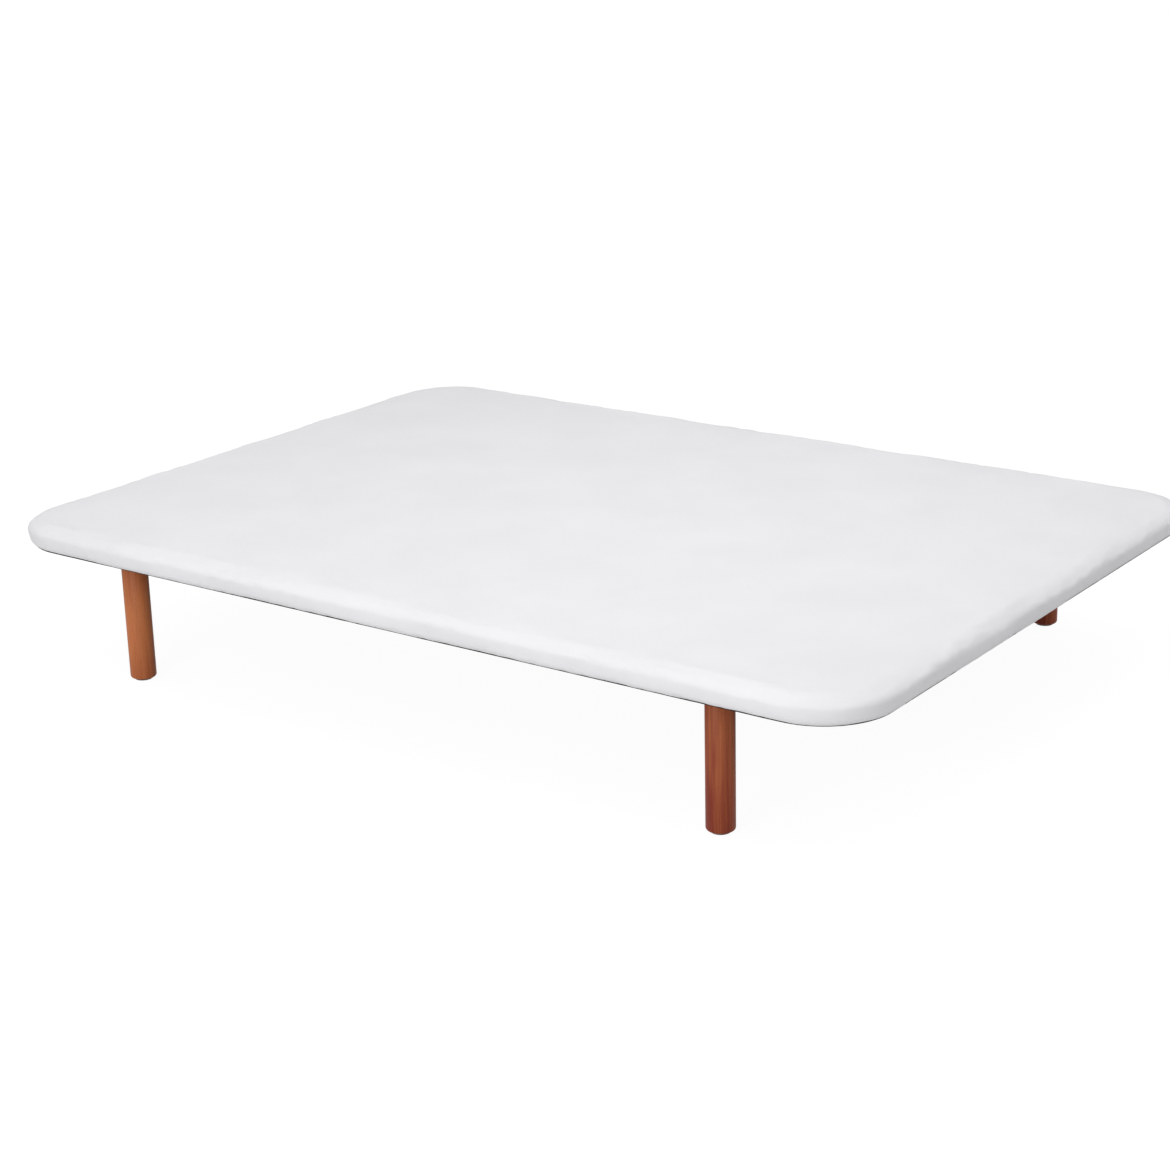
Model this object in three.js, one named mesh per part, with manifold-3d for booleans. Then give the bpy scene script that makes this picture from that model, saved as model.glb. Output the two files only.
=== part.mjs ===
// Upholstered bed base, 135 x 190 cm: a thin padded slab on four round wooden legs.
// Inside the slab is a welded frame of square steel tube. Two hardboard decks are screwed onto it,
// foam is drawn over the decks and the rim, and a white knitted cover is pulled round it all.
// A black dust cover closes the underside. Each leg screws into a bush in a cross rail.
// Millimetres, +Z up. The origin is on the floor under the centre, +X runs to the foot end.

import * as THREE from "three";
import { mergeVertices } from "three/addons/utils/BufferGeometryUtils.js";
import Module from "manifold-3d";

// The finished slab
const baseLength = 1900;
const baseWidth = 1350;
const cornerRadius = 134; // in plan
const undersideHeight = 245; // floor to the underside

// Clearances
const seatGap = 0.3; // between two pieces that seat on each other
const boardGap = 1; // between the two decks

// Steel frame
const tubeSize = 30;
const tubeWall = 1.5;
const tubeCorner = 3; // outside corner of the tube's section
const crossRailCount = 5;
const legRailFromEnd = 287; // from the slab's end to the rail that carries two legs
const legFromRail = 36; // from the side rail's inner face to the leg's axis

// Threaded bush for a leg
const bushRadius = 9;
const bushFlangeRadius = 16;
const threadRadius = 5;
const threadMouth = 1; // chamfer at the thread's mouth

// Decks and their screws
const boardThickness = 4;
const boardSetback = 3; // from the frame's outer face to the deck's edge
const screwFromSide = 275; // from the slab's side to a line of screws
const screwLength = 19;
const screwRadius = 2.1;
const screwHeadRadius = 4;
const screwHeadHeight = 2.2;
const screwPoint = 5;

// Foam, cover and dust cover
const foamTop = 10;
const foamSide = 7;
const coverThickness = 1.5;
const crownRise = 1.5; // from the shoulder up to the flat deck
const flatCornerRadius = 14; // corners of the flat deck inside the crown
const shoulderReach = 40; // how far in from the rim the deck starts to roll over
const shoulderDrop = 20;
const lowerRoll = 13;
const foamRollShare = 0.5; // the foam goes this far round the lower roll
const hemTuck = 8; // the hem goes this far past the tube
const dustThickness = 0.8;
const dustSetback = 10; // from the rim to the edge of the dust cover

// Legs
const legRadius = 25;
const footRound = 5;
const legTopChamfer = 1;
const legBoreDepth = 46;
const studTip = 8;
const studNeckRadius = 4.3;
const studNeckLength = 5;
const studEndChamfer = 1;
const studShortOfDeck = 4; // the stud ends this far below the top of its bush
const glideRadius = 18;
const glideThickness = 3;
const glideEdge = 1;
const nailRadius = 1.4;
const nailLength = 16;
const nailPoint = 3;

// Fineness of round surfaces
const cornerSteps = 9;
const tubeCornerSteps = 1;
const shoulderSteps = 6;
const rollSteps = 5;
const legSides = 28;
const smallSides = 14;
const screwSides = 8;

// Heights, from the floor up
const footZ = glideThickness + seatGap;
const legTopZ = undersideHeight - seatGap;
const dustTopZ = undersideHeight + dustThickness;
const coverBottomZ = dustTopZ + seatGap;
const tubeBottomZ = coverBottomZ + coverThickness + seatGap;
const tubeTopZ = tubeBottomZ + tubeSize;
const boardBottomZ = tubeTopZ + seatGap;
const boardTopZ = boardBottomZ + boardThickness;
const foamBottomZ = boardTopZ + seatGap;
const coverTopZ = foamBottomZ + foamTop + seatGap + coverThickness;
const shoulderZ = coverTopZ - crownRise;

// Distances in from the rim
const frameInset = coverThickness + seatGap + foamSide + seatGap;
const boardInset = frameInset + boardSetback;
const hemInset = frameInset + tubeSize + hemTuck;
const crownInset = cornerRadius - flatCornerRadius;

// Places of rails and legs
const cornerX = baseLength / 2 - cornerRadius; // centre of the corner arcs
const cornerY = baseWidth / 2 - cornerRadius;
const sideRailY = baseWidth / 2 - frameInset - tubeSize / 2;
const endRailX = baseLength / 2 - frameInset - tubeSize / 2;
const bendRadius = cornerRadius - frameInset - tubeSize / 2;
const legX = baseLength / 2 - legRailFromEnd;
const legY = sideRailY - tubeSize / 2 - legFromRail;
const crossRailX = Array.from(
  { length: crossRailCount },
  (_, i) => legX * ((2 * i) / (crossRailCount - 1) - 1),
);
const seamX = crossRailX[Math.floor(crossRailCount / 2)]; // the decks meet over this rail
const corners = [
  { name: "head_left", x: -1, y: -1 },
  { name: "foot_left", x: 1, y: -1 },
  { name: "foot_right", x: 1, y: 1 },
  { name: "head_right", x: -1, y: 1 },
];

const knit = new THREE.MeshStandardMaterial({ color: 0xeeeff2, roughness: 0.9, metalness: 0 });
const nonWoven = new THREE.MeshStandardMaterial({ color: 0x1f2022, roughness: 0.95, metalness: 0 });
const foam = new THREE.MeshStandardMaterial({ color: 0xe8dcb8, roughness: 0.95, metalness: 0 });
const hardboard = new THREE.MeshStandardMaterial({ color: 0x8a6642, roughness: 0.7, metalness: 0 });
const paintedSteel = new THREE.MeshStandardMaterial({ color: 0x3b3e42, roughness: 0.5, metalness: 0.4 });
const zincSteel = new THREE.MeshStandardMaterial({ color: 0xb9bcbe, roughness: 0.35, metalness: 0.9 });
const stainedBeech = new THREE.MeshStandardMaterial({ color: 0xa05c3c, roughness: 0.45, metalness: 0 });
const blackPlastic = new THREE.MeshStandardMaterial({ color: 0x18191b, roughness: 0.5, metalness: 0 });

const wasm = await Module();
wasm.setup();
const base = new THREE.Group();

function add(name, geometry, material) {
  const mesh = new THREE.Mesh(geometry, material);
  mesh.name = name;
  base.add(mesh);
}

// A closed geometry as a solid that can be cut.
function solidOf(geometry) {
  const bare = geometry.clone();
  bare.deleteAttribute("normal");
  bare.deleteAttribute("uv");
  const merged = mergeVertices(bare);
  return new wasm.Manifold(
    new wasm.Mesh({
      numProp: 3,
      vertProperties: merged.getAttribute("position").array,
      triVerts: new Uint32Array(merged.index.array),
    }),
  );
}

function cut(geometry, tools) {
  const result = tools.reduce((left, tool) => left.subtract(solidOf(tool)), solidOf(geometry));
  const mesh = result.getMesh();
  const made = new THREE.BufferGeometry();
  made.setAttribute("position", new THREE.BufferAttribute(mesh.vertProperties, 3));
  made.setIndex(new THREE.BufferAttribute(mesh.triVerts, 1));
  const faceted = made.toNonIndexed();
  faceted.computeVertexNormals();
  return faceted;
}

// A profile of [radius, height] pairs turned about a vertical axis.
function revolve(profile, sides) {
  const points = profile.map(([radius, height]) => new THREE.Vector2(radius, height));
  return new THREE.LatheGeometry(points, sides).rotateX(Math.PI / 2);
}

// Points on an ellipse, as pairs, with angles in quarter turns.
function arc(centreX, centreZ, reach, rise, from, to, steps) {
  return Array.from({ length: steps + 1 }, (_, i) => {
    const angle = ((from + ((to - from) * i) / steps) * Math.PI) / 2;
    return [centreX + reach * Math.cos(angle), centreZ + rise * Math.sin(angle)];
  });
}

// The slab's outline in plan, drawn in from the rim, counter-clockwise from above.
function outline(inset) {
  const radius = cornerRadius - inset;
  return corners.flatMap(({ x, y }, quarter) =>
    arc(x * cornerX, y * cornerY, radius, radius, quarter + 2, quarter + 3, cornerSteps),
  );
}

function outlineShape(inset) {
  return new THREE.Shape(outline(inset).map(([x, y]) => new THREE.Vector2(x, y)));
}

// A skin over a section of [inset, height] pairs that is carried round the slab's outline.
// The section starts with a face that looks up and ends with one that looks down.
function carryRound(section) {
  const rings = section.map(([inset, z]) => outline(inset).map(([x, y]) => [x, y, z]));
  const count = rings[0].length;
  const positions = new Float32Array(rings.flat(2));
  const faces = [];
  for (let ring = 0; ring < rings.length - 1; ring += 1) {
    for (let i = 0; i < count; i += 1) {
      const here = ring * count + i;
      const next = ring * count + ((i + 1) % count);
      faces.push(here, here + count, next + count, here, next + count, next);
    }
  }
  const last = (rings.length - 1) * count;
  for (const [a, b, c] of THREE.ShapeUtils.triangulateShape(outlineShape(0).getPoints(), [])) {
    faces.push(a, b, c, last + a, last + c, last + b);
  }
  const geometry = new THREE.BufferGeometry();
  geometry.setAttribute("position", new THREE.BufferAttribute(positions, 3));
  geometry.setIndex(faces);
  geometry.computeVertexNormals();
  return geometry;
}

// Section of the padded rim, from the flat deck out over the shoulder and down round the roll.
// The depth is measured in from the face of the cover, and rollShare says how much of the roll.
function rimSection(depth, rollShare) {
  const shoulderCentreZ = shoulderZ - shoulderDrop;
  const reach = shoulderReach - depth;
  const drop = shoulderDrop - depth;
  const rollCentreZ = coverBottomZ + lowerRoll;
  const roll = lowerRoll - depth;
  return [
    [crownInset, coverTopZ - depth],
    ...arc(shoulderReach, shoulderCentreZ, reach, drop, 1, 2, shoulderSteps),
    ...arc(lowerRoll, rollCentreZ, roll, roll, 2, 2 + rollShare, rollSteps),
  ];
}

// Square tube with rounded corners, centred on the shape's origin.
function tubeShape() {
  const shape = roundedSquare(tubeSize / 2, tubeCorner);
  shape.holes.push(roundedSquare(tubeSize / 2 - tubeWall, tubeCorner - tubeWall));
  return shape;
}

function roundedSquare(half, radius) {
  const shape = new THREE.Shape();
  const centre = half - radius;
  shape.absarc(centre, centre, radius, 0, Math.PI / 2);
  shape.absarc(-centre, centre, radius, Math.PI / 2, Math.PI);
  shape.absarc(-centre, -centre, radius, Math.PI, 1.5 * Math.PI);
  shape.absarc(centre, -centre, radius, 1.5 * Math.PI, 2 * Math.PI);
  return shape;
}

// A straight tube along X, centred on the origin.
function straightTube(length) {
  const tube = new THREE.ExtrudeGeometry(tubeShape(), {
    depth: length,
    bevelEnabled: false,
    curveSegments: tubeCornerSteps,
  });
  return tube.translate(0, 0, -length / 2).rotateY(Math.PI / 2);
}

// Quarter turn of the tube's centre line, from the side rail's end to the end rail's.
class BendLine extends THREE.Curve {
  getPoint(t, target = new THREE.Vector3()) {
    const angle = (t * Math.PI) / 2;
    return target.set(bendRadius * Math.cos(angle), bendRadius * Math.sin(angle), 0);
  }

  getTangent(t, target = new THREE.Vector3()) {
    const angle = (t * Math.PI) / 2;
    return target.set(-Math.sin(angle), Math.cos(angle), 0);
  }
}

// Countersunk screw with its head at the deck's face. A cutter for it is larger by the clearance.
function screwProfile(clearance) {
  const shank = screwRadius + clearance;
  const head = screwHeadRadius + clearance;
  const top = boardTopZ + clearance;
  const tip = boardTopZ - screwLength - clearance;
  return [
    [0, tip],
    [shank, tip + screwPoint],
    [shank, boardTopZ - screwHeadHeight - clearance],
    [head, boardTopZ - clearance],
    [head, top],
    [0, top],
  ];
}

// Screws stand in rows along X, over each rail, and in two rows where the decks meet.
const seamScrewX = tubeSize / 4;
const screwX = [
  -endRailX,
  ...crossRailX.filter((x) => x !== seamX),
  seamX - seamScrewX,
  seamX + seamScrewX,
  endRailX,
].sort((a, b) => a - b);
const screwY = baseWidth / 2 - screwFromSide;
const screwPlaces = screwX.flatMap((x) => [[x, -screwY], [x, screwY]]);
const screwCutters = screwPlaces.map(([x, y]) =>
  revolve(screwProfile(seatGap), screwSides).translate(x, y, 0),
);

// Perimeter of the frame: two side rails, two end rails and four bends, butt-welded
const tubeZ = tubeBottomZ + tubeSize / 2;
for (const [side, sign] of [["left", -1], ["right", 1]]) {
  const rail = straightTube(2 * (cornerX - seatGap));
  add(`side_rail_${side}`, rail.translate(0, sign * sideRailY, tubeZ), paintedSteel);
}
for (const [end, sign] of [["head", -1], ["foot", 1]]) {
  const rail = straightTube(2 * (cornerY - seatGap)).rotateZ(Math.PI / 2);
  const placed = rail.translate(sign * endRailX, 0, tubeZ);
  add(`end_rail_${end}`, cut(placed, screwCutters), paintedSteel);
}
corners.forEach(({ name, x, y }, quarter) => {
  const bend = new THREE.ExtrudeGeometry(tubeShape(), {
    steps: cornerSteps,
    extrudePath: new BendLine(),
    curveSegments: tubeCornerSteps,
  });
  bend.rotateZ(((quarter + 2) * Math.PI) / 2);
  add(`corner_bend_${name}`, bend.translate(x * cornerX, y * cornerY, tubeZ), paintedSteel);
});

// Cross rails, with a hole right through for each bush where a leg stands
const bushHoles = corners.map(({ x, y }) =>
  new THREE.CylinderGeometry(bushRadius + seatGap, bushRadius + seatGap, 2 * tubeSize, smallSides)
    .rotateX(Math.PI / 2)
    .translate(x * legX, y * legY, tubeZ),
);
crossRailX.forEach((x, i) => {
  const rail = straightTube(2 * (sideRailY - tubeSize / 2 - seatGap)).rotateZ(Math.PI / 2);
  const placed = rail.translate(x, 0, tubeZ);
  add(`cross_rail_${i + 1}`, cut(placed, [...screwCutters, ...bushHoles]), paintedSteel);
});

// Threaded bushes, pushed up through the rail as far as their flange and welded
const bushProfile = [
  [threadRadius + seatGap + threadMouth, coverBottomZ],
  [bushFlangeRadius, coverBottomZ],
  [bushFlangeRadius, tubeBottomZ - seatGap],
  [bushRadius, tubeBottomZ - seatGap],
  [bushRadius, tubeTopZ],
  [threadRadius + seatGap, tubeTopZ],
  [threadRadius + seatGap, coverBottomZ + threadMouth],
  [threadRadius + seatGap + threadMouth, coverBottomZ],
];

// Decks of hardboard: one sheet to the slab's outline, sawn apart over the middle rail
for (const [end, sign] of [["head", -1], ["foot", 1]]) {
  const sheet = new THREE.ExtrudeGeometry(outlineShape(boardInset), {
    depth: boardThickness,
    bevelEnabled: false,
  });
  const otherHalf = new THREE.BoxGeometry(baseLength, baseWidth, baseWidth);
  otherHalf.translate(seamX + sign * (boardGap / 2 - baseLength / 2), 0, boardBottomZ);
  const deck = cut(sheet.translate(0, 0, boardBottomZ), [otherHalf, ...screwCutters]);
  add(`deck_board_${end}`, deck, hardboard);
}
screwPlaces.forEach(([x, y], i) => {
  const screw = revolve(screwProfile(0), screwSides).translate(x, y, 0);
  add(`deck_screw_${String(i + 1).padStart(2, "0")}`, screw, zincSteel);
});

// Foam: glued over the decks, drawn thin over the shoulder and down the outside of the frame
const foamOuter = rimSection(coverThickness + seatGap, foamRollShare);
const foamEdgeZ = foamOuter.at(-1)[1];
add(
  "foam_pad",
  carryRound([
    ...foamOuter,
    [frameInset - seatGap, foamEdgeZ],
    [frameInset - seatGap, boardBottomZ],
    [boardInset - seatGap, boardBottomZ],
    [boardInset - seatGap, foamBottomZ],
    [crownInset, foamBottomZ],
  ]),
  foam,
);

// Cover: a skin over the crown, shoulder and roll, with its hem turned in under the frame
add(
  "cover",
  carryRound([
    ...rimSection(0, 1),
    [hemInset, coverBottomZ],
    [hemInset, coverBottomZ + coverThickness],
    ...rimSection(coverThickness, 1).reverse(),
  ]),
  knit,
);

// Dust cover, with a hole for each stud
const dustShape = outlineShape(dustSetback);
for (const { x, y } of corners) {
  const hole = new THREE.Path();
  hole.absarc(x * legX, y * legY, threadRadius + seatGap + threadMouth, 0, 2 * Math.PI);
  dustShape.holes.push(hole);
}
const dustSheet = new THREE.ExtrudeGeometry(dustShape, {
  depth: dustThickness,
  bevelEnabled: false,
  curveSegments: smallSides,
});
add("dust_cover", dustSheet.translate(0, 0, undersideHeight), nonWoven);

// Legs: turned beech with a bored top and a rounded foot, a hanger stud and a nail-on glide
const boreBottomZ = legTopZ - legBoreDepth;
const nailHoleRadius = nailRadius + seatGap;
const nailHoleTopZ = footZ + nailLength + seatGap;
const legProfile = [
  [0, nailHoleTopZ],
  [nailHoleRadius, nailHoleTopZ],
  [nailHoleRadius, footZ],
  ...arc(legRadius - footRound, footZ + footRound, footRound, footRound, 3, 4, rollSteps),
  [legRadius, legTopZ - legTopChamfer],
  [legRadius - legTopChamfer, legTopZ],
  [threadRadius + seatGap, legTopZ],
  [threadRadius + seatGap, boreBottomZ],
  [0, boreBottomZ],
];
const studBottomZ = boreBottomZ + seatGap;
const studTopZ = tubeTopZ - studShortOfDeck;
const studProfile = [
  [0, studBottomZ],
  [threadRadius, studBottomZ + studTip],
  [threadRadius, legTopZ - studNeckLength],
  [studNeckRadius, legTopZ - studNeckLength],
  [studNeckRadius, legTopZ],
  [threadRadius, legTopZ],
  [threadRadius, studTopZ - studEndChamfer],
  [threadRadius - studEndChamfer, studTopZ],
  [0, studTopZ],
];
const glideProfile = [
  [0, 0],
  [glideRadius - glideEdge, 0],
  [glideRadius, glideEdge],
  [glideRadius, glideThickness],
  [nailRadius, glideThickness],
  [nailRadius, footZ + nailLength - nailPoint],
  [0, footZ + nailLength],
];
for (const { name, x, y } of corners) {
  const place = (geometry) => geometry.translate(x * legX, y * legY, 0);
  add(`leg_bush_${name}`, place(revolve(bushProfile, smallSides)), zincSteel);
  add(`leg_${name}`, place(revolve(legProfile, legSides)), stainedBeech);
  add(`leg_stud_${name}`, place(revolve(studProfile, smallSides)), zincSteel);
  add(`leg_glide_${name}`, place(revolve(glideProfile, legSides)), blackPlastic);
}

export default base;
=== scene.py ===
import math

import bmesh
import bpy
import numpy as np
from mathutils import Matrix, Vector, noise


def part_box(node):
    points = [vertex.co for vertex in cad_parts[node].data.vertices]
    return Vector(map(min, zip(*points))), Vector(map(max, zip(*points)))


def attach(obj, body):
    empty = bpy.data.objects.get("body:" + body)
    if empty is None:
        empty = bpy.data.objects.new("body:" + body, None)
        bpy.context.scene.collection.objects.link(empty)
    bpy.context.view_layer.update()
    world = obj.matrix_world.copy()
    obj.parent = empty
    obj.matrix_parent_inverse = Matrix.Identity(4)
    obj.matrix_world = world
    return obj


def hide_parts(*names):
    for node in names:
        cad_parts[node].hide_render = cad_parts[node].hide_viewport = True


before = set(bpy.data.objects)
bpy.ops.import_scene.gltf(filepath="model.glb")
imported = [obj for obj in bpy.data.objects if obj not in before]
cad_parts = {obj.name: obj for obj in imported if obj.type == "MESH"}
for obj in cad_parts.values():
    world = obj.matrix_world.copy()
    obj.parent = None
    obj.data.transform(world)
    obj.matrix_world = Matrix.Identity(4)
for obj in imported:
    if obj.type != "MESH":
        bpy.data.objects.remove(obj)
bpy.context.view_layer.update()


# Frame: 30 mm square steel tube, bent at the slab's corners and cut square everywhere else.
# Its rails are butt-welded, and it is powder-coated dark grey with a fine orange peel.
class Value:
    """A socket that can be reckoned with; each operation adds its Math node."""

    def __init__(self, nodes, socket):
        self.nodes = nodes
        self.socket = socket

    def math(self, operation, *others):
        values = dict(enumerate((self, *others)))
        return self.nodes.node("ShaderNodeMath", {"operation": operation}, values)

    def __add__(self, other):
        return self.math("ADD", other)

    def __sub__(self, other):
        return self.math("SUBTRACT", other)

    def __rsub__(self, other):
        return self * -1 + other

    def __mul__(self, other):
        return self.math("MULTIPLY", other)

    __radd__ = __add__
    __rmul__ = __mul__


class Nodes:
    """The nodes of a finish or of the studio."""

    def __init__(self, tree):
        self.tree = tree

    def node(self, kind, settings=None, values=None, output=0):
        """Adds a node and returns one of its outputs; its settings are made before its sockets."""
        made = self.tree.nodes.new(kind)
        for name, setting in (settings or {}).items():
            setattr(made, name, setting)
        for key, value in (values or {}).items():
            self.feed(made.inputs[key], value)
        return Value(self, made.outputs[output])

    def feed(self, socket, value):
        if isinstance(value, Value):
            self.tree.links.new(value.socket, socket)
        else:
            socket.default_value = value


class Finish(Nodes):
    """A procedural material; the values that are the same all over are set on its shader."""

    def __init__(self, name, **constants):
        self.material = bpy.data.materials.new(name)
        self.material.use_nodes = True
        super().__init__(self.material.node_tree)
        self.shader = self.tree.nodes["Principled BSDF"]
        for socket, value in constants.items():
            self.shader.inputs[socket.replace("_", " ")].default_value = value

    def place(self, scale=(1, 1, 1), uv=None):
        """The point on the piece, in metres times the scale."""
        if uv:
            point = self.node("ShaderNodeUVMap", {"uv_map": uv})
        else:
            point = self.node("ShaderNodeTexCoord", output="Object")
        return self.node("ShaderNodeMapping", values={"Vector": point, "Scale": scale})

    def noise(self, point, scale, detail=2.0, roughness=0.5, distortion=0.0):
        values = {"Vector": point, "Scale": scale, "Detail": detail}
        values |= {"Roughness": roughness, "Distortion": distortion}
        return self.node("ShaderNodeTexNoise", values=values)

    def span(self, value, low, high):
        """Brings the part of a value between low and high to 0..1."""
        values = {"Value": value, "From Min": low, "From Max": high}
        return self.node("ShaderNodeMapRange", values=values)

    def mixed(self, share, *colours):
        """A share of the second of two colours in the first; either may be a value."""
        first, second = ((*one, 1) if isinstance(one, tuple) else one for one in colours)
        values = {0: share, 6: first, 7: second}
        return self.node("ShaderNodeMix", {"data_type": "RGBA"}, values, output=2)

    def wear(self, colour=None, roughness=None, height=None, depth=0.0001):
        """Links what changes over the surface to the shader."""
        if colour:
            self.feed(self.shader.inputs["Base Color"], colour)
        if roughness:
            self.feed(self.shader.inputs["Roughness"], roughness)
        if height:
            bump = self.node("ShaderNodeBump", values={"Height": height, "Distance": depth})
            self.feed(self.shader.inputs["Normal"], bump)


def dress(finish, *starts):
    """Gives a finish to the CAD nodes whose names start so."""
    for name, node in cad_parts.items():
        if name.startswith(starts):
            for slot in node.material_slots:
                slot.material = finish.material


powder_coat = Finish("powder_coat", Metallic=0.0, Specular_IOR_Level=0.4)
coat_point = powder_coat.place()
coat_cloud = powder_coat.noise(coat_point, 9.0, detail=4.0)
coat_peel = powder_coat.noise(coat_point, 800.0)
powder_coat.wear(
    colour=powder_coat.mixed(coat_cloud, (0.037, 0.041, 0.047), (0.052, 0.057, 0.063)),
    roughness=0.38 + 0.2 * coat_cloud,
    height=coat_peel,
    depth=0.00006,
)
dress(powder_coat, "side_rail", "end_rail", "corner_bend", "cross_rail")


# Bushes, leg studs and deck screws: turned steel, zinc-plated. The bushes are welded into the
# cross rails, the studs are screwed into the legs, and the screws are driven through the decks.
zinc = Finish("zinc_plate", Metallic=1.0)
zinc_point = zinc.place()
zinc_cloud = zinc.noise(zinc_point, 60.0, detail=5.0)
zinc_turning = zinc.noise(zinc.place(scale=(40, 40, 4000)), 1.0)
zinc.wear(
    colour=zinc.mixed(zinc_cloud, (0.43, 0.45, 0.47), (0.55, 0.56, 0.53)),
    roughness=0.26 + 0.2 * zinc_cloud,
    height=zinc_turning,
    depth=0.00004,
)
dress(zinc, "leg_bush", "leg_stud", "deck_screw")


# Decks: two sheets of 4 mm hardboard, brown, with a smooth face up and fibres all through.
# They meet over the middle cross rail, and screws in countersunk holes hold them to the rails.
hardboard = Finish("hardboard", Specular_IOR_Level=0.3)
fibre_point = hardboard.place(scale=(1, 1, 8))
fibre = hardboard.noise(fibre_point, 420.0, detail=6.0, roughness=0.65)
fibre_cloud = hardboard.noise(fibre_point, 7.0, detail=3.0)
hardboard.wear(
    colour=hardboard.mixed(0.6 * fibre + 0.4 * fibre_cloud, (0.19, 0.092, 0.036), (0.32, 0.175, 0.078)),
    roughness=0.55 + 0.25 * fibre,
    height=fibre,
    depth=0.0002,
)
dress(hardboard, "deck_board")


# Foam: 10 mm of cream polyurethane foam, glued over the decks, drawn thin over the shoulder
# and down the outside of the frame, with its edge halfway round the lower roll.
slab_low, slab_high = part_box("cover")
corner_radius = 0.134
core_x = slab_high.x - corner_radius  # centres of the corner arcs
core_y = slab_high.y - corner_radius
crown_inset = 0.120  # the flat deck begins this far in from the rim
crown_rise = 0.0015
crown_steps = 4
shoulder_reach = 0.040
shoulder_drop = 0.020
lower_roll = 0.013
cover_thickness = 0.0015
seat_gap = 0.0003
foam_give = 0.0010  # how far the cover presses into the foam
corner_turns = 20
merge_gap = 1e-5
quarter_turn = math.pi / 2


def arc(inset, height, reach, rise, start, end, steps):
    """Points of an elliptic arc in the rim's section, with angles in quarter turns."""
    angles = [(start + (end - start) * i / steps) * quarter_turn for i in range(steps + 1)]
    return [(inset + reach * math.cos(a), height + rise * math.sin(a)) for a in angles]


def rim_section(depth, roll_share, shoulder_steps, roll_steps):
    """The rim from the flat deck out over the shoulder and round the roll, as (inset, height)."""
    shoulder_height = slab_high.z - crown_rise - shoulder_drop
    crown = [
        (
            crown_inset + (shoulder_reach - crown_inset) * i / crown_steps,
            slab_high.z - depth - crown_rise * (i / crown_steps) ** 2,
        )
        for i in range(crown_steps)
    ]
    reach = shoulder_reach - depth
    drop = shoulder_drop - depth
    roll = lower_roll - depth
    shoulder = arc(shoulder_reach, shoulder_height, reach, drop, 1, 2, shoulder_steps)
    lower = arc(lower_roll, slab_low.z + lower_roll, roll, roll, 2, 2 + roll_share, roll_steps)
    return crown + shoulder + lower


def swept(mesh, parts, steps, **motion):
    """Sweeps vertices and edges in steps, and returns those at the end of the sweep."""
    made = bmesh.ops.spin(mesh, geom=parts, axis=(0, 0, 1), steps=steps, **motion)
    return [part for part in made["geom_last"] if not isinstance(part, bmesh.types.BMFace)]


def carried_round(mesh, section, step=0.010, deck=False):
    """Carries a line of vertices and edges from the middle of the left side round one corner to
    the middle of the foot end, fills the deck inside it if asked, and mirrors it to the whole slab."""
    side_steps = round(core_x / step)
    end_steps = round(core_y / step)
    straight = {"cent": (0, 0, 0), "angle": 0}
    line = swept(mesh, section, side_steps, dvec=(core_x / side_steps, 0, 0), **straight)
    line = swept(mesh, line, corner_turns, cent=(core_x, -core_y, 0), angle=quarter_turn)
    swept(mesh, line, end_steps, dvec=(0, core_y / end_steps, 0), **straight)
    if deck:
        half = Matrix.Diagonal((core_x / 2, core_y / 2, 1, 1))
        half.translation = (core_x / 2, -core_y / 2, 0)
        bmesh.ops.create_grid(mesh, x_segments=side_steps, y_segments=end_steps, size=1, matrix=half)
    bmesh.ops.remove_doubles(mesh, verts=mesh.verts, dist=merge_gap)
    for axis in "XY":
        bmesh.ops.mirror(
            mesh, geom=mesh.verts[:] + mesh.edges[:] + mesh.faces[:], axis=axis, merge_dist=merge_gap
        )


def joined_points(mesh, points):
    """Adds points to the mesh, with an edge from each to the next, and returns both."""
    verts = [mesh.verts.new(point) for point in points]
    return verts + [mesh.edges.new(pair) for pair in zip(verts, verts[1:])]


def new_piece(name, mesh, finish, smooth=True):
    """Makes a bmesh an object of the scene, with its faces outwards."""
    bmesh.ops.recalc_face_normals(mesh, faces=mesh.faces)
    for face in mesh.faces:
        face.smooth = smooth
    data = bpy.data.meshes.new(name)
    mesh.to_mesh(data)
    mesh.free()
    data.materials.append(finish.material)
    piece = bpy.data.objects.new(name, data)
    bpy.context.scene.collection.objects.link(piece)
    return piece


foam_finish = Finish("cream_foam", Roughness=0.95, Specular_IOR_Level=0.2)
cell = foam_finish.node(
    "ShaderNodeTexVoronoi", {"feature": "F1"}, {"Vector": foam_finish.place(), "Scale": 900.0}
)
foam_cloud = foam_finish.noise(foam_finish.place(), 12.0)
foam_finish.wear(
    colour=foam_finish.mixed(0.5 * cell + 0.5 * foam_cloud, (0.86, 0.78, 0.55), (0.74, 0.63, 0.40)),
    height=cell,
    depth=0.0004,
)

board_low, board_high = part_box("deck_board_head")
rail_low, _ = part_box("side_rail_left")
rail_inset = rail_low.y - slab_low.y - seat_gap
board_inset = board_low.y - slab_low.y - seat_gap
foam_section = rim_section(
    cover_thickness + foam_give, roll_share=0.5, shoulder_steps=8, roll_steps=4
)
foam_section += [
    (rail_inset, foam_section[-1][1]),
    (rail_inset, board_low.z),
    (board_inset, board_low.z),
    (board_inset, board_high.z + seat_gap),
    (crown_inset, board_high.z + seat_gap),
]
foam_mesh = bmesh.new()
foam_line = [(0, slab_low.y + inset, z) for inset, z in foam_section]
carried_round(foam_mesh, joined_points(foam_mesh, foam_line))
bmesh.ops.holes_fill(foam_mesh, edges=foam_mesh.edges)
bmesh.ops.triangulate(foam_mesh, faces=[face for face in foam_mesh.faces if len(face.verts) > 4])
foam = new_piece("foam", foam_mesh, foam_finish)
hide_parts("foam_pad")
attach(foam, "root")


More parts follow.
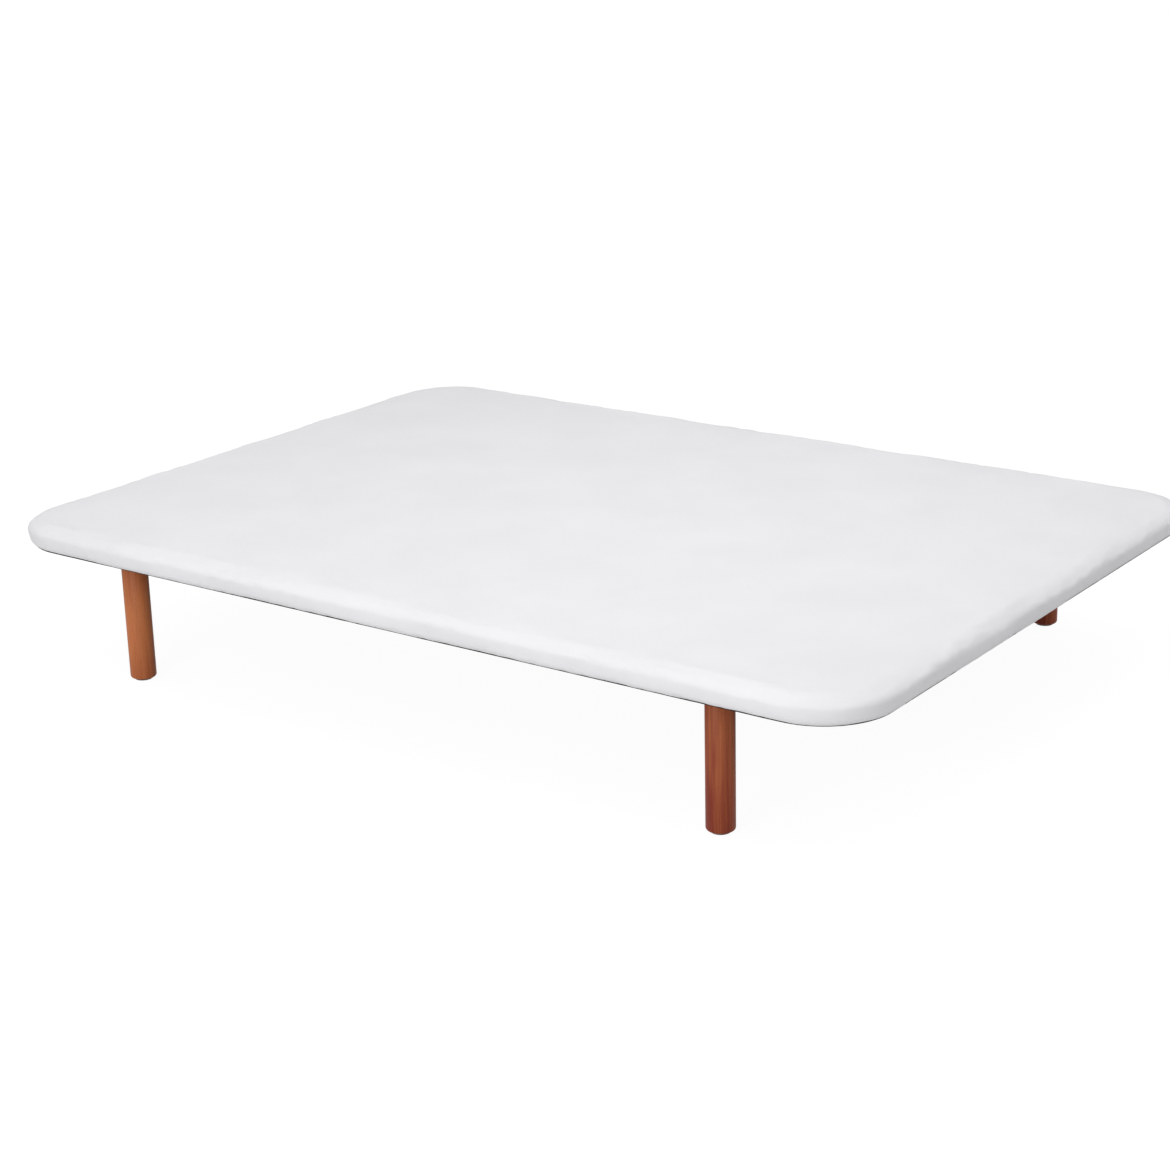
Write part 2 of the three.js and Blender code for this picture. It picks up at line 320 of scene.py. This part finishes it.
# Cover: one sheet of white stretch knit, cut with rounded corners, drawn over the foam and
# turned in under the frame. It is pulled down at each rivet and stands a little proud between.
hem_inset = 0.0471
shoulder_rings = 11
roll_rings = 6
hem_rings = 4
cut_layer = "cut"
stitch_width = 0.00125
stitch_height = 0.0010
cut_section = rim_section(0, roll_share=1, shoulder_steps=shoulder_rings, roll_steps=roll_rings)
cut_section += [
    (lower_roll + (hem_inset - lower_roll) * (i + 1) / hem_rings, slab_low.z) for i in range(hem_rings)
]
strip_widths = [math.dist(a, b) for a, b in zip(cut_section, cut_section[1:])]
fold_reach = [0, *np.cumsum([corner_radius - crown_inset, *strip_widths])]  # flat, from the core
fold_inset = [corner_radius] + [inset for inset, _ in cut_section]
fold_height = [slab_high.z] + [height for _, height in cut_section]
cover_mesh = bmesh.new()
cover_line = [(0, -core_y - reach, 0) for reach in fold_reach]
carried_round(cover_mesh, joined_points(cover_mesh, cover_line), deck=True)
cut = cover_mesh.loops.layers.uv.new(cut_layer)
for face in cover_mesh.faces:
    for loop in face.loops:
        loop[cut].uv = loop.vert.co.xy


def root_of(point):
    """The nearest place to a point, in plan, within the centres of the corner arcs."""
    x = max(-core_x, min(core_x, point.x))
    y = max(-core_y, min(core_y, point.y))
    return Vector((x, y, 0))


cut_reach = []
rim_point = []
for vert in cover_mesh.verts:
    root = root_of(vert.co)
    out = Vector((vert.co.x, vert.co.y, 0)) - root
    reach = out.length
    cut_reach.append(reach)
    rim_point.append((root + out.normalized() * corner_radius).to_tuple())
    inset = float(np.interp(reach, fold_reach, fold_inset))
    vert.co = root + out.normalized() * (corner_radius - inset)
    vert.co.z = float(np.interp(reach, fold_reach, fold_height))
cut_reach = np.array(cut_reach)
rim_point = np.array(rim_point)

knit = Finish(
    "white_knit", Roughness=0.85, Specular_IOR_Level=0.25, Sheen_Weight=0.15, Sheen_Roughness=0.5
)
knit_cloud = knit.span(knit.noise(knit.place(uv=cut_layer), 5.0, detail=3.0), 0.3, 0.7)
knit_dimple = knit.noise(knit.place(uv=cut_layer), 45.0)
knit_fleck = knit.noise(knit.place(uv=cut_layer), 160.0, detail=3.0, roughness=0.6)
stitch = knit.place(uv=cut_layer, scale=(1 / stitch_width, 1 / stitch_height, 1))
across = knit.node("ShaderNodeSeparateXYZ", values={0: stitch}, output=0).math("PINGPONG", 0.5)
along = knit.node("ShaderNodeSeparateXYZ", values={0: stitch}, output=1)
slant = (2 * math.pi * (along + 1.4 * across)).math("SINE")
# Each strand's relief; the colour below also follows it, darker in the grooves between the strands,
# which is painted shade.
strand_and_groove_shade = (2 * math.pi * across).math("SINE") * (0.65 + 0.35 * slant)
knit.wear(
    colour=knit.mixed(
        0.3 * knit_cloud + 0.2 * knit_fleck + 0.5 * strand_and_groove_shade, (0.81, 0.808, 0.83), (0.93, 0.927, 0.95)
    ),
    height=0.6 * knit_dimple + 0.3 * knit_fleck + 0.1 * strand_and_groove_shade,
    depth=0.001,
)
cover = new_piece("cover_sheet", cover_mesh, knit)

rivet_gaps = (22, 14)  # along a side and along an end
corner_gaps = 3
rivet_inset = 0.024
outwards = Vector((0, -1, 0))
rivet_rays = []  # from where on the core, and which way, each rivet lies
for side in range(4):
    turn = Matrix.Rotation(side * quarter_turn, 3, "Z")
    half_run, half_depth = ((core_x, core_y), (core_y, core_x))[side % 2]
    gaps = rivet_gaps[side % 2]
    for i in range(gaps):
        root = Vector((half_run * (2 * i / gaps - 1), -half_depth, 0))
        rivet_rays.append((turn @ root, turn @ outwards))
    for i in range(corner_gaps):
        root = Vector((half_run, -half_depth, 0))
        bend = Matrix.Rotation(i / corner_gaps * quarter_turn, 3, "Z")
        rivet_rays.append((turn @ root, turn @ bend @ outwards))
rivet_rim = np.array([(root + way * corner_radius).to_tuple() for root, way in rivet_rays])
rivet_places = [root + way * (corner_radius - rivet_inset) for root, way in rivet_rays]

shoulder_ring = 1 + crown_steps
roll_ring = shoulder_ring + shoulder_rings + 1
shoulder_from, shoulder_to = fold_reach[shoulder_ring], fold_reach[roll_ring - 1]
roll_from, roll_to = fold_reach[roll_ring], fold_reach[roll_ring + roll_rings]
pull_width = 0.014  # of the dent at a rivet
pull_depth = 0.002
ripple_height = 0.0004  # gives the sheet an uneven start
ripple_rate = 40
wave_height = 0.0016  # the most that the cover may stand out between the rivets
wave_depth = 0.0009  # and the most that it may lie in
padding_wave = 0.0040  # of the uneven foam
padding_rate = (7, 7, 40)  # lumps to the metre, along the rim and across it
side_bulge = 0.0013  # how far the stretched side stands out, halfway up
corner_hold = 0.8  # the share of the wave that the tighter corners take out


def settled(piece, held, frames, gravity=0.0, **settings):
    """Where a sheet's points come to rest when its fabric is a little too large for its place."""
    group = piece.vertex_groups.new(name="held")
    for index, weight in enumerate(held):
        group.add([index], float(weight), "REPLACE")
    cloth = piece.modifiers.new("cloth", "CLOTH")
    cloth.settings.vertex_group_mass = group.name
    for name, value in settings.items():
        setattr(cloth.settings, name, value)
    cloth.settings.effector_weights.gravity = gravity
    cloth.collision_settings.use_collision = False
    cloth.point_cache.frame_end = frames
    for number in range(1, frames + 1):
        bpy.context.scene.frame_set(number)
    shown = piece.evaluated_get(bpy.context.evaluated_depsgraph_get())
    points = np.empty(len(piece.data.vertices) * 3)
    shown.data.vertices.foreach_get("co", points)
    piece.modifiers.remove(cloth)
    piece.vertex_groups.remove(group)
    bpy.context.scene.frame_set(1)
    return points.reshape(-1, 3)


rest = np.array([vert.co for vert in cover.data.vertices])
normal = np.array([vert.normal for vert in cover.data.vertices])
nearest = np.min([np.linalg.norm(rim_point - point, axis=1) for point in rivet_rim], axis=0)
pull = np.exp(-((nearest / pull_width) ** 2))

# The deck and the hem are held, and so is the lower roll at each rivet, where it is drawn in.
drawn = np.interp(cut_reach, [shoulder_from, roll_from, roll_to], [0, 0.3, 1]) * pull
pinned = np.interp(cut_reach, [roll_from - 0.004, roll_from + 0.006], [0, 1]) * (pull > 0.6)
hold_places = [shoulder_from - 0.010, shoulder_from + 0.012, roll_to - 0.006, roll_to + 0.002]
held = np.maximum(np.interp(cut_reach, hold_places, [1, 0, 0, 1]), pinned)
ripple = [noise.noise(Vector(point) * ripple_rate) * ripple_height for point in rest]
start = rest + normal * (ripple * (1 - held) - drawn * pull_depth)[:, None]
cover.data.vertices.foreach_set("co", start.ravel())
found = settled(
    cover,
    held,
    frames=20,
    quality=5,
    mass=0.3,
    tension_stiffness=15,
    compression_stiffness=15,
    shear_stiffness=5,
    bending_stiffness=0.3,
    shrink_min=-0.012,
    use_pressure=True,
    uniform_pressure_force=3,
)

# What the cloth has moved counts from the middle of each ring, so the rim keeps its section.
amount = ((found - rest) * normal).sum(axis=1)
for reach in fold_reach[1:]:
    ring = np.abs(cut_reach - reach) < merge_gap
    amount[ring] -= np.median(amount[ring])
corner_middle = np.array([core_x, core_y]) + corner_radius * math.sqrt(0.5)
from_corner = np.linalg.norm(np.abs(rim_point[:, :2]) - corner_middle, axis=1)
amount *= 1 - corner_hold * np.exp(-((from_corner / corner_radius) ** 2))
amount *= np.interp(cut_reach, [shoulder_from, shoulder_to], [0, 1])

# The foam's lumps come on top, and the sum stays within what the cover may stand out.
padding = np.column_stack([rim_point[:, :2], cut_reach]) * padding_rate
amount += [noise.fractal(Vector(place), 0.8, 2.0, 2) * padding_wave for place in padding]
loose_places = [shoulder_from - 0.030, shoulder_from + 0.010, roll_from, roll_to]
loose = np.interp(cut_reach, loose_places, [0, 1, 1, 0.2])
most = np.where(amount > 0, wave_height, wave_depth)
amount = loose * most * np.tanh(amount / most)

up_the_side = np.interp(cut_reach, [shoulder_to - 0.015, roll_from + 0.012], [0, 1])
amount += side_bulge * np.sin(math.pi * up_the_side) ** 2
cover.data.vertices.foreach_set("co", (rest + normal * amount[:, None]).ravel())
cover.data.update()

wall = cover.modifiers.new("thickness", "SOLIDIFY")
wall.thickness = cover_thickness
wall.offset = -1
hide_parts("cover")
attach(cover, "root")


# Dust cover: black spun-bonded fabric, cut to the slab's outline with a hole for each leg stud,
# and held by the rivets and the legs. It hangs a little between them.
leg_names = ["head_left", "foot_left", "foot_right", "head_right"]
leg_boxes = [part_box(f"leg_{name}") for name in leg_names]
leg_axes = [(low + high) / 2 for low, high in leg_boxes]
leg_radius = 0.025
stud_hole_radius = 0.0063
hole_sides = 32
punch_length = 0.02
sag_depth = 0.0022
dust_step = 0.017
hung_from = 0.060  # from the rim to where the fabric hangs free of the frame
crease_height = 0.0003  # gives the fabric an uneven start
crease_rate = 25
dust_low, dust_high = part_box("dust_cover")
shade_line_show = 0.0010  # how much nearer the rim than in the CAD its black edge lies, so that it shows below the roll as a thin dark line: painted shade for the roll's shadow
dust_inset = dust_low.y - slab_low.y - shade_line_show
dust_thickness = 0.0004
dust_rings = 7
dust_under = dust_high.z - dust_thickness
dust_finish = Finish("dust_fabric", Roughness=0.85, Specular_IOR_Level=0.25)
dust_point = dust_finish.place()
dust_cloud = dust_finish.noise(dust_point, 40.0, detail=6.0, roughness=0.7)
dust_fibre = dust_finish.noise(dust_point, 900.0, detail=4.0, distortion=1.5)
dust_bond = dust_finish.node(
    "ShaderNodeTexVoronoi", {"feature": "F1"}, {"Vector": dust_point, "Scale": 500.0, "Randomness": 0.2}
)
dust_web = dust_finish.span(dust_bond, 0.15, 0.45)
dust_finish.wear(
    colour=dust_finish.mixed(
        0.5 * dust_cloud + 0.5 * dust_fibre, (0.006, 0.0065, 0.0075), (0.024, 0.025, 0.027)
    ),
    roughness=0.70 + 0.25 * dust_web,
    height=dust_web + 0.5 * dust_fibre,
    depth=0.00025,
)
dust_mesh = bmesh.new()
dust_reach = corner_radius - dust_inset
dust_line = [(0, -core_y - dust_reach * i / dust_rings, 0) for i in range(dust_rings + 1)]
carried_round(dust_mesh, joined_points(dust_mesh, dust_line), step=dust_step, deck=True)
bmesh.ops.translate(dust_mesh, vec=(0, 0, dust_under), verts=dust_mesh.verts)
dust = new_piece("dust_sheet", dust_mesh, dust_finish)

rest = np.array([vert.co for vert in dust.data.vertices])
spans = [(rivet_places, dust_step * 0.6), (leg_axes, leg_radius + dust_step)]
held = np.zeros(len(rest))
for places, span in spans:
    for place in places:
        held[np.linalg.norm(rest[:, :2] - place.xy, axis=1) < span] = 1
start = rest.copy()
crease = [noise.noise(Vector(point) * crease_rate) * crease_height for point in rest]
start[:, 2] += crease * (1 - held)
dust.data.vertices.foreach_set("co", start.ravel())
found = settled(dust, held, frames=25, gravity=0.015, quality=5, mass=0.1, shrink_min=-0.001)
amount = np.minimum(found[:, 2] - rest[:, 2], 0)
inset = corner_radius - np.linalg.norm(rest[:, :2] - [root_of(Vector(p)).xy for p in rest], axis=1)
amount *= np.interp(inset, [rivet_inset, hung_from], [0.15, 1])
rest[:, 2] += sag_depth * np.tanh(amount / sag_depth)
dust.data.vertices.foreach_set("co", rest.ravel())
dust.data.update()

dust_wall = dust.modifiers.new("thickness", "SOLIDIFY")
dust_wall.thickness = dust_thickness
dust_wall.offset = -1
punch_mesh = bmesh.new()
for axis in leg_axes:
    bmesh.ops.create_cone(
        punch_mesh,
        segments=hole_sides,
        cap_ends=True,
        radius1=stud_hole_radius,
        radius2=stud_hole_radius,
        depth=punch_length,
        matrix=Matrix.Translation((axis.x, axis.y, dust_under)),
    )
punch = new_piece("punch", punch_mesh, dust_finish)
holes = dust.modifiers.new("stud_holes", "BOOLEAN")
holes.operation = "DIFFERENCE"
holes.object = punch
cut_dust = dust.evaluated_get(bpy.context.evaluated_depsgraph_get())
dust.data = bpy.data.meshes.new_from_object(cut_dust)
dust.modifiers.clear()
bpy.data.objects.remove(punch)
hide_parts("dust_cover")
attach(dust, "root")


# Rivets: blind rivets with a low, zinc-plated dome, set through the dust cover and the hem into
# the steel of the frame, all round the rim and closer together in the corners.
rivet_radius = 0.0045
rivet_height = 0.0016
rivet_sides = 10
dome_steps = 3
rivet_mesh = bmesh.new()
for place in rivet_places:
    dome = [
        (place.x + rivet_radius * math.cos(a), place.y, dust_under - rivet_height * math.sin(a))
        for a in [i / dome_steps * quarter_turn for i in range(dome_steps + 1)]
    ]
    bmesh.ops.spin(
        rivet_mesh,
        geom=joined_points(rivet_mesh, dome),
        cent=place,
        axis=(0, 0, 1),
        angle=2 * math.pi,
        steps=rivet_sides,
        use_merge=True,
    )
bmesh.ops.remove_doubles(rivet_mesh, verts=rivet_mesh.verts, dist=merge_gap)
bmesh.ops.holes_fill(rivet_mesh, edges=rivet_mesh.edges)
rivets = new_piece("rivets", rivet_mesh, zinc)
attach(rivets, "root")


# Legs: beech, turned 50 mm across with a rounded foot, stained cherry and lacquered satin.
# Each has a bore in its top for the stud, and a small hole in its foot for the nail of its glide.
leg_sides = 96
foot_round = 0.005
foot_steps = 6
top_chamfer = 0.001
bore_radius = 0.0053
bore_depth = 0.046
nail_hole_radius = 0.0017
nail_hole_depth = 0.0163
beech = Finish("stained_beech", Specular_IOR_Level=0.2)
grain = beech.noise(beech.place(scale=(1, 1, 0.03)), 420.0, detail=5.0, roughness=0.6)
figure = beech.noise(beech.place(scale=(1, 1, 0.05)), 75.0, detail=3.0, distortion=0.8)
stain = beech.noise(beech.place(scale=(1, 1, 0.3)), 22.0)
fleck = beech.span(beech.noise(beech.place(scale=(1, 1, 0.12)), 1500.0, detail=1.0), 0.66, 0.76)
timber = beech.noise(beech.place(scale=(1, 1, 0.5)), 5.5)
tone = beech.span(0.2 * grain + 0.35 * figure + 0.15 * stain - 0.75 * timber, -0.18, 0.16)
wood = beech.mixed(tone, (0.225, 0.033, 0.015), (0.560, 0.180, 0.064))
beech.wear(
    colour=beech.mixed(0.55 * fleck, wood, (0.10, 0.024, 0.010)),
    roughness=0.42 + 0.18 * grain,
    height=grain - 0.6 * fleck,
    depth=0.00012,
)
for name, (leg_low, leg_high), axis in zip(leg_names, leg_boxes, leg_axes):
    foot = [
        (leg_radius - foot_round + foot_round * math.sin(a), leg_low.z + foot_round * (1 - math.cos(a)))
        for a in [i / foot_steps * quarter_turn for i in range(foot_steps + 1)]
    ]
    profile = [
        (0, leg_low.z + nail_hole_depth),
        (nail_hole_radius, leg_low.z + nail_hole_depth),
        (nail_hole_radius, leg_low.z),
        *foot,
        (leg_radius, leg_high.z - top_chamfer),
        (leg_radius - top_chamfer, leg_high.z),
        (bore_radius, leg_high.z),
        (bore_radius, leg_high.z - bore_depth),
        (0, leg_high.z - bore_depth),
    ]
    leg_mesh = bmesh.new()
    section = joined_points(leg_mesh, [(axis.x + radius, axis.y, z) for radius, z in profile])
    bmesh.ops.spin(
        leg_mesh,
        geom=section,
        cent=(axis.x, axis.y, 0),
        axis=(0, 0, 1),
        angle=2 * math.pi,
        steps=leg_sides,
        use_merge=True,
    )
    bmesh.ops.remove_doubles(leg_mesh, verts=leg_mesh.verts, dist=merge_gap)
    leg = new_piece(f"turned_leg_{name}", leg_mesh, beech)
    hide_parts(f"leg_{name}")
    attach(leg, "root")


# Glides: moulded discs of black plastic with a fine grain, which keep the feet off the floor.
# Each is held by a nail that is driven into the foot.
plastic = Finish("glide_plastic", Roughness=0.45)
plastic_grain = plastic.noise(plastic.place(), 2200.0)
plastic_cloud = plastic.noise(plastic.place(), 90.0)
plastic.wear(
    colour=plastic.mixed(plastic_cloud, (0.008, 0.0085, 0.0095), (0.013, 0.0135, 0.0145)),
    roughness=0.4 + 0.2 * plastic_cloud,
    height=plastic_grain,
    depth=0.00003,
)
dress(plastic, "leg_glide")


# Floor and light: a pale studio floor and a backdrop, which look white and leave a soft shadow,
# lit by two softboxes, a low one before the left side and one above the deck.
def background_rays(nodes):
    """1 for the rays that show the background: the camera's, and those of gloss and of glass."""
    kinds = ("Is Camera Ray", "Is Glossy Ray", "Is Transmission Ray")
    return sum(nodes.node("ShaderNodeLightPath", output=kind) for kind in kinds)


floor_reach = 60
floor_glow = 1.12
floor_glow_share = 0.85  # the rest is paper, which keeps the shadow
paper = Finish("white_paper", Base_Color=(0.72, 0.72, 0.72, 1), Roughness=1.0, Specular_IOR_Level=0.0)
paper_glow = paper.node(
    "ShaderNodeMixShader",
    values={
        0: floor_glow_share * background_rays(paper),
        1: Value(paper, paper.shader.outputs[0]),
        2: paper.node("ShaderNodeEmission", values={"Strength": floor_glow}),
    },
)
paper.feed(paper.tree.nodes["Material Output"].inputs["Surface"], paper_glow)
floor_mesh = bmesh.new()
bmesh.ops.create_grid(floor_mesh, x_segments=1, y_segments=1, size=floor_reach)
floor = new_piece("floor", floor_mesh, paper, smooth=False)

sky_level = 0.60
world = bpy.data.worlds.new("studio")
bpy.context.scene.world = world
world.use_nodes = True
studio = Nodes(world.node_tree)
backdrop = studio.tree.nodes["Background"]
studio.feed(backdrop.inputs["Color"], (1, 1, 1, 1))
studio.feed(backdrop.inputs["Strength"], sky_level + (1 - sky_level) * background_rays(studio))

lit_place = Vector((0, 0, 0.25))
softboxes = [("key", (0.5, -4.2, 1.5), (1.6, 1.0), 45), ("top", (0.4, -0.2, 2.8), (2.0, 2.0), 25)]
for name, place, size, power in softboxes:
    lamp_data = bpy.data.lights.new(name, "AREA")
    lamp_data.shape = "RECTANGLE"
    lamp_data.size, lamp_data.size_y = size
    lamp_data.energy = power
    lamp = bpy.data.objects.new(name, lamp_data)
    lamp.location = place
    lamp.rotation_euler = (lit_place - lamp.location).to_track_quat("-Z", "Y").to_euler()
    bpy.context.scene.collection.objects.link(lamp)


# Camera: a long lens above the level of the deck, which looks down on the near corner.
# Its place, turn and focal length are fitted to the outline of the slab and the feet.
view_place = (2.611, -3.611, 1.618)
view_yaw = math.radians(36.27)
view_pitch = math.radians(18.40)
view_roll = math.radians(-1.434)
picture_width = 1170  # pixels
focal_length = 2402  # pixels
camera_data = bpy.data.cameras.new("camera")
camera_data.sensor_width = 36
camera_data.lens = focal_length / picture_width * camera_data.sensor_width
camera_data.clip_end = 200
camera = bpy.data.objects.new("camera", camera_data)
camera.matrix_world = (
    Matrix.Translation(view_place)
    @ Matrix.Rotation(view_yaw, 4, "Z")
    @ Matrix.Rotation(quarter_turn - view_pitch, 4, "X")
    @ Matrix.Rotation(view_roll, 4, "Z")
)
bpy.context.scene.collection.objects.link(camera)
bpy.context.scene.camera = camera
bpy.context.scene.view_settings.view_transform = "Standard"
